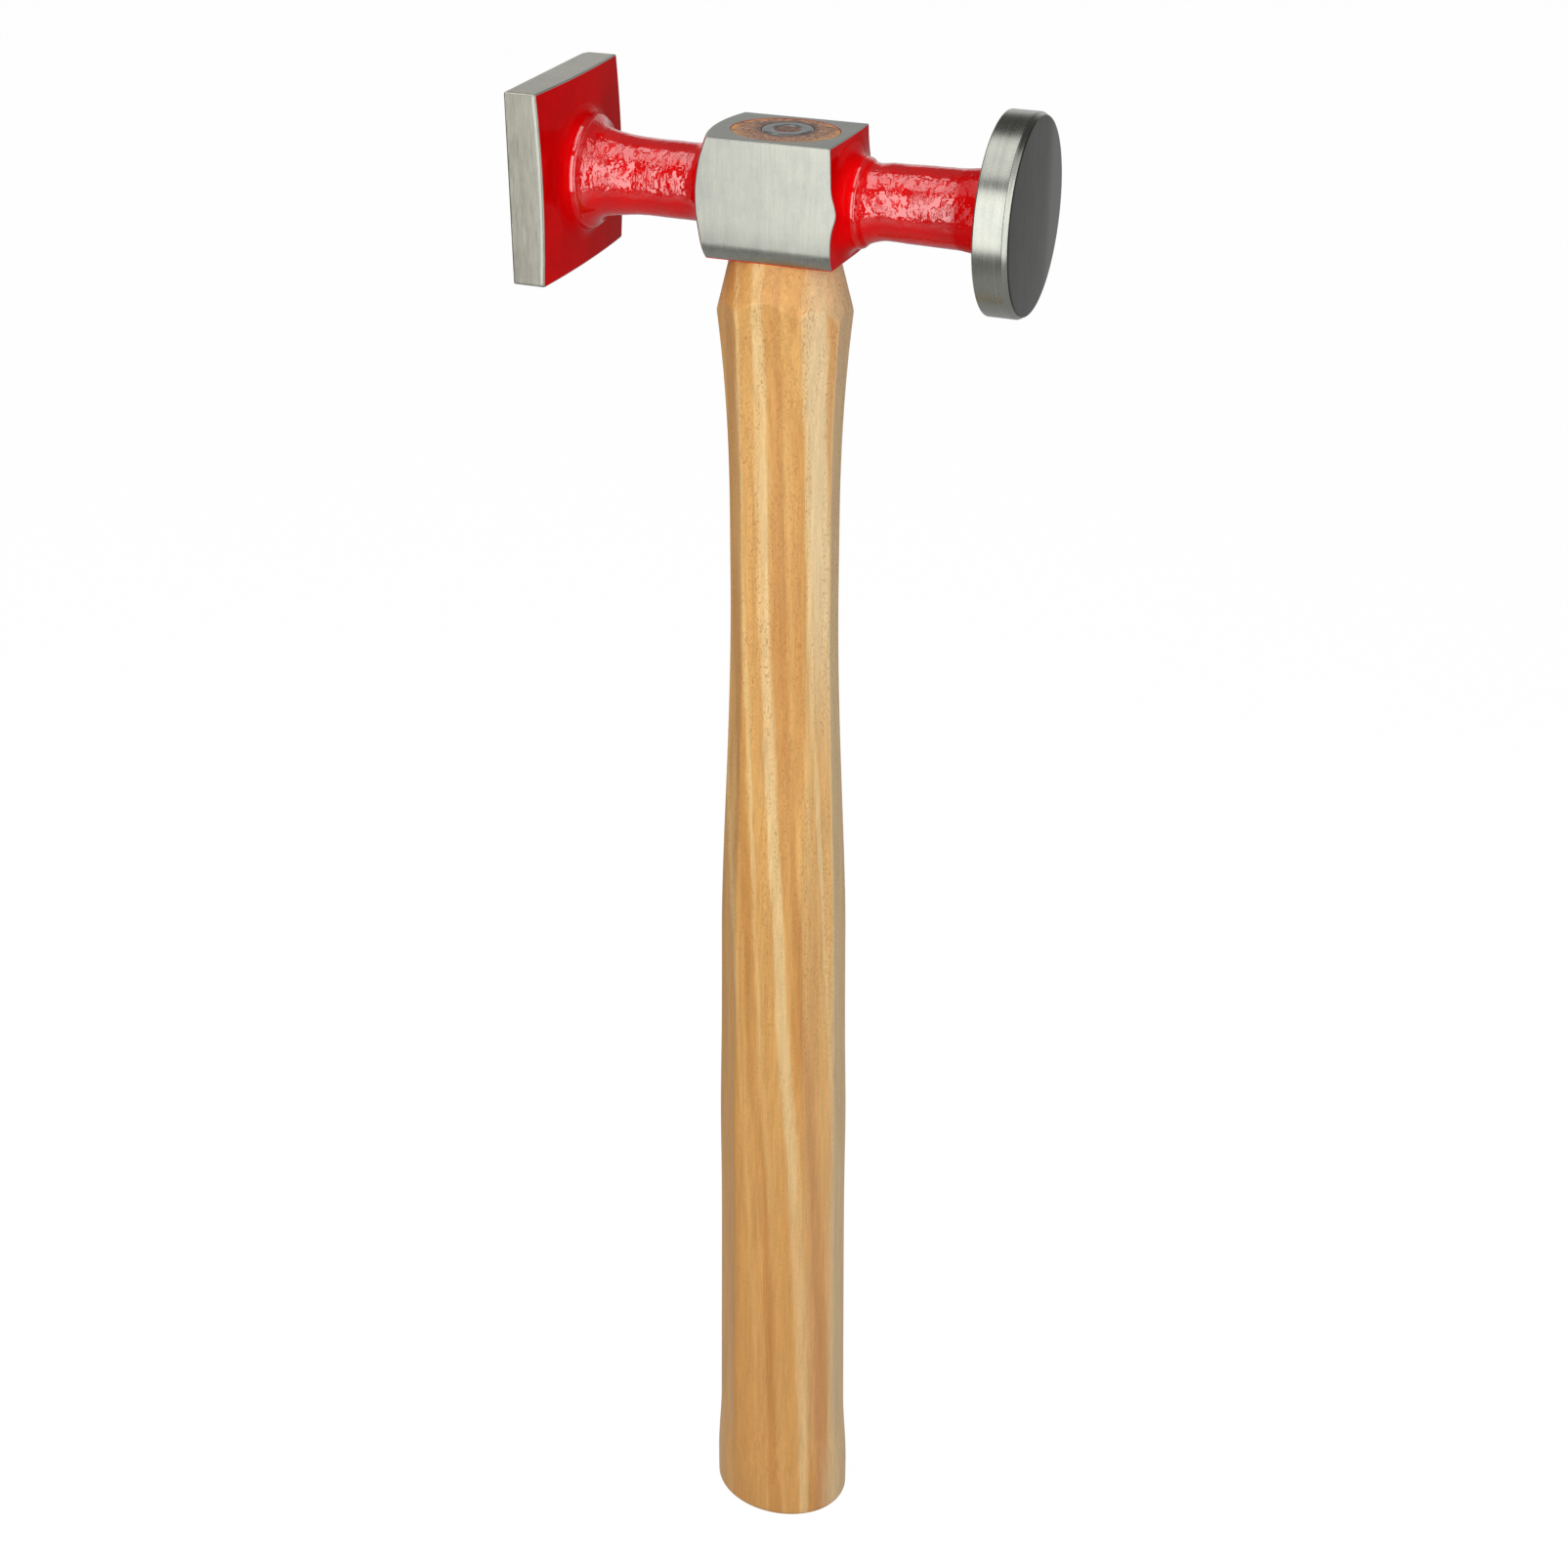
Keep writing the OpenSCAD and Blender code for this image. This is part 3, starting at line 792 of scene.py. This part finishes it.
def forged_roughness(f, gloss, normal):
    """Lumps, grooves that run round the necks, pits, and dull spots between them."""
    x, _, _ = f.millimetres()
    _, _, nz = f.facing()
    reach = f.math("ABSOLUTE", x)
    # The middle of each neck, and less of it on top and underneath
    middle = f.times(f.remap(reach, 17.4, 19.4, 0.2, 1.0), f.remap(reach, 42.4, 39.5, 0.12, 1.0),
                     f.remap(nz, -0.35, -0.05, 0.2, 1.0), f.remap(nz, 0.97, 0.88, 0.2, 1.0))
    patch = f.times(middle, f.remap(f.noise(f.place, 2.6, 2.0), 0.38, 0.58))
    lumps = f.noise(f.scaled(0.8, 1, 1), 2.3, 2.0)
    normal = f.bump(f.times(lumps, middle), 0.23, normal)
    grooves = f.noise(f.scaled(1, 0.25, 0.25), 0.5, 2.0, 0.6)
    normal = f.bump(f.times(grooves, patch), 0.18, normal)
    pits = f.remap(f.noise(f.place, 0.55, 2.0, 0.6), 0.45, 0.75)
    normal = f.bump(f.times(pits, patch), 0.03, normal)
    # Less lacquer reached the underside, so it is less glossy there
    gloss = f.remap(nz, -0.4, -0.15, 0.1, gloss)
    # Dull spots between the grooves, and dull rings beside the collar and the disc
    spots = f.remap(f.noise(f.scaled(1, 0.6, 0.6), 1.6, 3.0, 0.65), 0.40, 0.46, 0.15, 1.0)
    spots = f.mix(middle, (1, 1, 1, 1), spots)
    by_collar = f.remap(f.away(x, 18.4), 0.25, 0.6, 0.12, 1.0)
    by_disc = f.remap(x, 36.8, 38.4, 1.0, 0.15)
    return f.times(gloss, spots, by_collar, by_disc), normal


def brushed_steel(name, light, dark, roughness, mark, turned=False, band=None, width=0.26):
    """Ground steel with brush marks, upright or turned round the head's axis. Mark is their depth and
    width their width in millimetres. Band is a painted reflection: a paler tone painted on the back half of
    the round face."""
    f = Finish(name)
    if turned:
        lines = f.noise(f.scaled(1, 0.006, 0.006), 0.16, 3.0, 0.6)
        wide = f.noise(f.scaled(1, 0.02, 0.02), 0.9, 2.0)
    else:
        lines = f.noise(f.scaled(1, 1, 0.06), width, 3.0, 0.7)
        wide = f.noise(f.scaled(1, 1, 0.08), 0.8, 3.0, 0.6)
    cloud = f.noise(f.place, 6.0, 4.0, 0.6)
    colour = f.mix(f.remap(cloud, 0.35, 0.7), light, dark)
    if band:
        x, y, _ = f.millimetres()
        # Painted reflection: the band makes the back half of the round face paler
        colour = f.mix(f.times(f.remap(y, 5.0, 12.0), f.math("GREATER_THAN", x, 0.0)), colour, band)
    grain = f.noise(f.place, 0.35, 2.0)
    shade = f.math("ADD", f.spread(lines, 0.80, 1.14), f.spread(wide, -0.08, 0.07))
    shade = f.math("ADD", shade, f.spread(grain, -0.05, 0.05))
    f.set(Base_Color=f.lighter(colour, shade), Metallic=1.0, Normal=f.bump(lines, mark),
          Roughness=f.spread(lines, roughness - 0.05, roughness + 0.07))
    return f.material


def ring_steel():
    """The wedge's driven end, dulled by hammering and grinding."""
    f = Finish("ring_steel")
    marks = f.noise(f.scaled(1, 0.3, 1), 0.35, 3.0, 0.6)
    blot = f.noise(f.place, 1.8, 3.0)
    colour = f.mix(f.remap(blot, 0.3, 0.7), tint(132, 138, 138), tint(174, 178, 175))
    f.set(Base_Color=f.lighter(colour, f.spread(marks, 0.8, 1.1)), Metallic=1.0,
          Roughness=f.remap(blot, 0.2, 0.8, 0.32, 0.5), Normal=f.bump(marks, 0.02))
    return f.material


# Streaks in the ash: the place of the middle across the grain at the streaks' height, half width,
# softness, colour and strength
STREAKS = (
    (-14.5, 1.6, 1.5, tint(214, 158, 84), 0.8),
    (-12.0, 0.25, 0.4, tint(240, 205, 140), 0.6),
    (-8.8, 0.5, 0.9, tint(200, 140, 70), 0.75),
    (-6.9, 0.2, 0.4, tint(242, 208, 145), 0.7),
    (-5.2, 0.9, 0.8, tint(226, 172, 98), 0.7),
    (-2.2, 0.7, 1.1, tint(242, 208, 148), 0.95),
    (0.4, 0.35, 0.6, tint(216, 156, 86), 0.7),
    (2.0, 0.35, 1.1, tint(196, 128, 64), 0.6),
    (7.9, 0.25, 0.4, tint(240, 208, 150), 0.8),
    (14.0, 1.0, 1.2, tint(210, 150, 80), 0.8),
)
FINE_STREAK = 0.3
GRAIN_SHIFT = 11.9
STREAKS_H = 331.0


def across_grain(f, x, y, z):
    """The place across the grain, which leans over on its way down the handle."""
    shift = f.remap(z, STREAKS_H, 0.0, 0.0, GRAIN_SHIFT)
    lean = f.math("MULTIPLY_ADD", x, 0.025, 0.83)
    lean = f.math("MINIMUM", f.math("MAXIMUM", lean, 0.5), 1.05)
    wander = f.noise(f.scaled(1, 1, 0.12), 9.0, 2.0)
    ragged = f.noise(f.scaled(1, 1, 0.08), 1.2, 3.0, 0.6)
    across = f.math("MULTIPLY_ADD", y, 0.25, f.math("ADD", x, 2.5))
    across = f.math("SUBTRACT", across, f.times(shift, lean))
    across = f.math("MULTIPLY_ADD", f.math("SUBTRACT", wander, 0.5), 1.8, across)
    return f.math("MULTIPLY_ADD", f.math("SUBTRACT", ragged, 0.5), 1.5, across)


def ash_wood(name):
    """Varnished ash, with streaks, a darker heart near the butt, fibres and pores."""
    f = Finish(name)
    x, y, z = f.millimetres()
    across = across_grain(f, x, y, z)
    colour = f.mix(f.remap(f.noise(f.scaled(1, 1, 0.05), 3.0, 3.0), 0.3, 0.7), tint(232, 180, 106),
                   tint(218, 160, 88))
    for middle, half, soft, streak, strength in STREAKS:
        share = f.remap(f.away(across, middle), half + soft, half, 0.0, strength)
        fading = f.noise(f.scaled(1, 1, 0.07), 4.0 + half, 2.0)
        share = f.times(share, f.remap(fading, 0.25, 0.6, 0.55, 1.0))
        if half < FINE_STREAK:
            share = f.times(share, f.remap(z, 70.0, 240.0, 0.2, 1.0))
        colour = f.mix(share, colour, streak)
    pale = f.remap(f.away(across, 10.3), 2.4, 1.4, 0.0, 0.85)
    colour = f.mix(f.times(pale, f.remap(z, 215.0, 275.0)), colour, tint(238, 212, 164))
    # A darker band and a warmer tone near the butt
    low = f.remap(z, 200.0, 50.0)
    heart = f.remap(f.away(across, 2.6), 2.2, 0.8, 0.0, 0.75)
    colour = f.mix(f.times(heart, low), colour, tint(190, 118, 56))
    colour = f.mix(f.times(low, 0.3), colour, tint(226, 154, 84))
    # Surfaces that face upwards, such as the turned taper, are darker. The side faces are paler:
    # painted light and sheen on the right side, and painted light on the left side near the butt
    nx, _, nz = f.facing()
    colour = f.mix(f.remap(nz, 0.12, 0.26, 0.0, 0.3), colour, tint(206, 146, 78))
    colour = f.mix(f.remap(nx, 0.6, 0.95, 0.0, 0.65), colour, tint(252, 226, 176))
    colour = f.mix(f.times(f.remap(nx, -0.6, -0.95, 0.0, 0.45), low), colour, tint(244, 214, 168))
    fibre = f.noise(f.scaled(1, 1, 0.03), 0.32, 4.0, 0.65)
    vein = f.noise(f.scaled(1, 1, 0.04), 1.1, 3.0, 0.6)
    speckle = f.noise(f.scaled(1, 1, 0.5), 0.4, 2.0)
    shade = f.math("ADD", f.spread(fibre, 0.78, 1.04), f.spread(vein, -0.10, 0.08))
    # Painted light: the wood is made lighter towards the butt
    shade = f.math("ADD", shade, f.remap(z, 180.0, 0.0, 0.0, 0.09))
    shade = f.math("ADD", shade, f.spread(speckle, -0.05, 0.05))
    colour = f.lighter(colour, shade)
    pores = f.remap(f.noise(f.scaled(1, 1, 0.3), 0.24, 1.0), 0.56, 0.68)
    crowd = f.remap(f.noise(f.scaled(1, 1, 0.05), 2.0, 1.0), 0.36, 0.56)
    pore = f.times(pores, crowd, f.remap(z, 60.0, 220.0, 0.2, 1.0))
    colour = f.mix(f.times(pore, 0.6), colour, tint(174, 112, 58))
    normal = f.bump(f.times(pore, -1.0), 0.03, f.bump(fibre, 0.02))
    f.set(Base_Color=colour, Roughness=f.spread(fibre, 0.40, 0.5), Normal=normal, Specular_IOR_Level=0.4)
    return f.material


def tenon_end():
    """Ground end grain in the eye, dark with steel dust, with lighter rims at both ends of the oval."""
    f = Finish("tenon_end_grain")
    x, y, _ = f.millimetres()
    dust = f.noise(f.place, 0.9, 4.0, 0.65)
    wide = f.noise(f.place, 2.2, 3.0)
    unevenness = f.math("SUBTRACT", wide, 0.5)
    reach = f.math("POWER", f.math("DIVIDE", f.math("ABSOLUTE", x), EYE_RX), 2.0)
    reach = f.math("ADD", reach, f.math("POWER", f.math("DIVIDE", y, EYE_RX*EYE_RATIO), 2.0))
    ragged = f.math("MULTIPLY_ADD", unevenness, 0.8, reach)
    colour = f.mix(f.remap(dust, 0.35, 0.65), tint(120, 84, 68), tint(196, 152, 124))
    ends = f.times(f.remap(ragged, 0.6, 0.95, 0.0, 0.85),
                   f.remap(f.math("ABSOLUTE", x), 4.0, 8.0, 0.15, 1.0),
                   f.remap(f.noise(f.place, 1.4, 2.0), 0.38, 0.58, 0.3, 1.0))
    colour = f.mix(ends, colour, tint(222, 160, 96))
    # A stain round the ring, spilt dust, and the core inside the ring
    from_ring = f.math("SQRT", f.math("ADD", f.math("POWER", x, 2.0),
                                      f.math("POWER", f.math("SUBTRACT", y, RING_OFF), 2.0)))
    stain = f.remap(f.math("MULTIPLY_ADD", unevenness, 4.0, from_ring), 7.2, 5.6, 0.0, 0.7)
    colour = f.mix(stain, colour, tint(84, 76, 72))
    spill = f.remap(f.noise(f.scaled(0.5, 1, 1), 1.6, 3.0, 0.6), 0.52, 0.7, 0.0, 0.6)
    colour = f.mix(spill, colour, tint(92, 84, 80))
    core = f.remap(from_ring, CORE_R + 0.3, CORE_R - 0.2)
    colour = f.mix(core, colour, f.mix(f.remap(dust, 0.35, 0.65), tint(96, 70, 62), tint(150, 116, 100)))
    grain = f.noise(f.scaled(0.25, 1, 1), 0.35, 3.0, 0.6)
    f.set(Base_Color=f.lighter(colour, f.spread(grain, 0.72, 1.18)), Roughness=0.55,
          Normal=f.bump(grain, 0.05), Specular_IOR_Level=0.3)
    return f.material


# The studio

def smooth_ramp(tree, value, low, high, to_low, to_high):
    """Takes a value from one range to another, with a smooth start and end."""
    return add_node(tree, "MapRange", value, low, high, to_low, to_high,
                    interpolation_type="SMOOTHSTEP").outputs[0]


def coordinates(tree, kind):
    """The three coordinates of a place, as sockets."""
    place = add_node(tree, "TexCoord").outputs[kind]
    return add_node(tree, "SeparateXYZ", place).outputs


def seen_share(tree, to_camera, to_reflection):
    """A share for rays that come from the camera, another for those from a reflection or a clear body,
    and 0 for the rest."""
    path = add_node(tree, "LightPath").outputs
    total = 0.0
    for name, share in (("Is Camera Ray", to_camera), ("Is Glossy Ray", to_reflection),
                        ("Is Transmission Ray", to_reflection)):
        total = add_node(tree, "Math", path[name], share, total, operation="MULTIPLY_ADD").outputs[0]
    return total


def make_floor():
    """A wide pale floor. Seen directly it is nearly white, and it keeps the shadow. In a reflection it is
    dark in front of the object and pale behind it."""
    reach, shadow_tone, camera_tone, glow = 30.0, 0.4, 0.95, 1.02
    camera_share, pale_share, front_y, back_y = 0.96, 0.38, -0.42, -0.16
    mesh = bpy.data.meshes.new("floor")
    mesh.from_pydata([(-reach, -reach, 0), (reach, -reach, 0), (reach, reach, 0), (-reach, reach, 0)], [],
                     [(0, 1, 2, 3)])
    floor = bpy.data.objects.new("floor", mesh)
    bpy.context.scene.collection.objects.link(floor)
    material = bpy.data.materials.new("floor_paper")
    material.use_nodes = True
    tree = material.node_tree
    tree.nodes.remove(tree.nodes["Principled BSDF"])
    from_camera = add_node(tree, "LightPath").outputs["Is Camera Ray"]
    tone = smooth_ramp(tree, from_camera, 0.0, 1.0, shadow_tone, camera_tone)
    paper = add_node(tree, "BsdfDiffuse", tone).outputs[0]
    white = add_node(tree, "Emission", (1, 1, 1, 1), glow).outputs[0]
    pale = smooth_ramp(tree, coordinates(tree, "Object")[1], front_y, back_y, 0.0, pale_share)
    mixed = add_node(tree, "MixShader", seen_share(tree, camera_share, pale), paper, white).outputs[0]
    tree.links.new(mixed, tree.nodes["Material Output"].inputs["Surface"])
    mesh.materials.append(material)


def make_world():
    """Plain grey light all round. The camera sees white near the horizon and grey above it. In reflections
    the room behind the camera is dark, so that polished surfaces show only the soft boxes there."""
    fill, dark_room = 0.22, 0.1
    world = bpy.data.worlds.new("studio")
    bpy.context.scene.world = world
    world.use_nodes = True
    tree = world.node_tree
    _, toward_back, upward = coordinates(tree, "Generated")
    height = smooth_ramp(tree, upward, 0.08, 0.42, 1.0, 0.28)
    pale = smooth_ramp(tree, upward, 0.22, 0.5, 0.85, 0.02)
    behind = smooth_ramp(tree, toward_back, -0.3, 0.2, 0.0, 1.0)
    room = add_node(tree, "Math", pale, behind, dark_room, operation="MULTIPLY_ADD").outputs[0]
    from_camera = add_node(tree, "LightPath").outputs["Is Camera Ray"]
    view = add_node(tree, "Mix", from_camera, None, room, height, data_type="FLOAT").outputs[0]
    seen = seen_share(tree, 1.0, 1.0)
    strength = add_node(tree, "Mix", seen, None, fill, view, data_type="FLOAT").outputs[0]
    back = tree.nodes["Background"]
    tree.links.new(strength, back.inputs["Strength"])
    back.inputs["Color"].default_value = (1, 1, 1, 1)


def soft_box(name, place, aim, width, height, radiance):
    """A soft box that shines from a place towards a point."""
    lamp = bpy.data.lights.new(name, "AREA")
    lamp.shape = "RECTANGLE"
    lamp.size = width
    lamp.size_y = height
    lamp.energy = radiance*math.pi*width*height
    box = bpy.data.objects.new(name, lamp)
    box.location = place
    box.rotation_euler = (Vector(aim) - Vector(place)).to_track_quat("-Z", "Y").to_euler()
    box.visible_camera = False
    bpy.context.scene.collection.objects.link(box)


def make_lights():
    soft_box("front_left_box", (-0.080, -0.413, 0.42), (0, 0, 0.42), 0.23, 0.56, 3.2)
    soft_box("overhead_box", (-0.26, -0.17, 1.05), (-0.26, -0.17, 0), 0.5, 0.76, 2.1)
    soft_box("ceiling_box", (0.45, -0.16, 0.95), (0.05, 0, 0.355), 0.32, 0.5, 1.3)
    soft_box("right_box", (0.36, -0.36, 0.46), (0, 0, 0.46), 0.22, 0.8, 3.0)


def make_camera():
    """The photograph's viewpoint, worked out from the object's outline. The azimuth goes from the front
    towards +X."""
    azimuth, elevation, roll = math.radians(20.5966), math.radians(29.1391), math.radians(0.1509)
    place = Vector((0.170469, -0.453549, 0.487783))
    turn = Matrix.Rotation(azimuth, 4, "Z") @ Matrix.Rotation(math.pi/2 - elevation, 4, "X")
    optics = bpy.data.cameras.new("camera")
    optics.sensor_width, optics.lens = 36.0, 55.376
    optics.clip_start, optics.clip_end = 0.01, 100.0
    camera = bpy.data.objects.new("camera", optics)
    camera.matrix_world = Matrix.Translation(place) @ turn @ Matrix.Rotation(roll, 4, "Z")
    bpy.context.scene.collection.objects.link(camera)
    bpy.context.scene.camera = camera


make_camera()
make_floor()
make_world()
make_lights()
bpy.context.scene.view_settings.view_transform = "Standard"

steel_light, steel_dark = tint(157, 158, 149), tint(149, 151, 144)
make_head([
    lacquer("red_lacquer_forged", 1.9, 0.53, True),
    lacquer("red_lacquer_smooth", 1.5, 0.02, False),
    brushed_steel("ground_steel", steel_light, steel_dark, 0.34, 0.006),
    brushed_steel("turned_steel", tint(151, 152, 144), tint(143, 145, 138), 0.26, 0.004, True),
    # The polished faces' dark colour is painted shade, standing in for the dark surroundings they reflect
    brushed_steel("polished_steel", tint(69, 71, 66), tint(61, 63, 58), 0.30, 0.004,
                  # The paler band is a painted reflection on the round face
                  band=tint(112, 114, 108), width=0.75),
    brushed_steel("plate_side_steel", tint(182, 180, 167), tint(171, 169, 156), 0.32, 0.008),
])
make_handle([ash_wood("varnished_ash"), tenon_end()])
make_ring_wedge(ring_steel())
